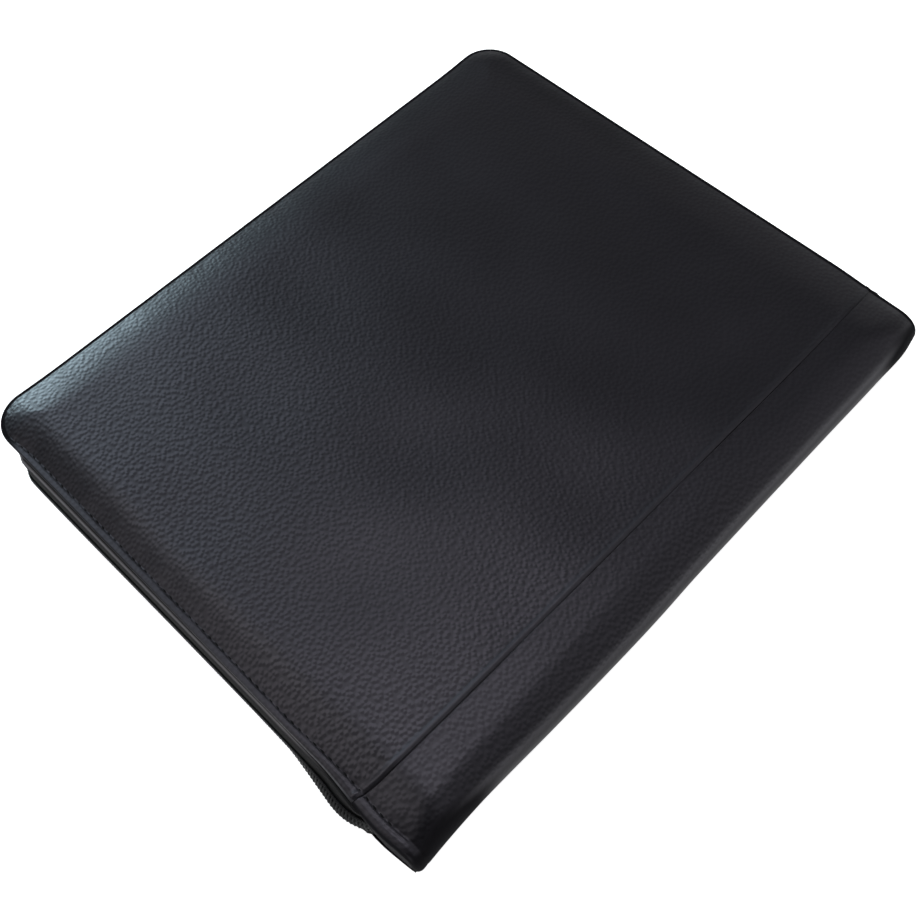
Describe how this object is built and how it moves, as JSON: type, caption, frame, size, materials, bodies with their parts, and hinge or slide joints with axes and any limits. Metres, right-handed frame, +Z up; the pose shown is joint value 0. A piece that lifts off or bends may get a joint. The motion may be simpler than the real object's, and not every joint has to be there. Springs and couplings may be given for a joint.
{
  "type": "zip-around leather tablet folio case",
  "caption": "Flat zip-around leather folio with padded covers, stitched lips, a rounded spine strip and a coil zip round three sides; it holds and protects a tablet.",
  "frame": {"origin": "on the table, under the middle of the closed folio's box", "axes": "+X towards the spine, +Y along the spine towards the end where the closed zip's slider is, +Z up out of the front cover"},
  "size_m": [0.2344, 0.2822, 0.0248],
  "materials": {
    "leather": "black pebble-grained cowhide with a soft satin sheen",
    "zip_tape": "black woven polyester tape",
    "zip_coil": "black nylon coil",
    "slider_metal": "dark gunmetal plating"
  },
  "bodies": {
    "root": {"front_panel": "leather", "spine_panel": "leather", "back_panel": "leather", "zip_tape_front": "zip_tape", "zip_tape_back": "zip_tape", "zip_chain": "zip_coil", "zip_slider": "slider_metal"}
  },
  "joints": []
}
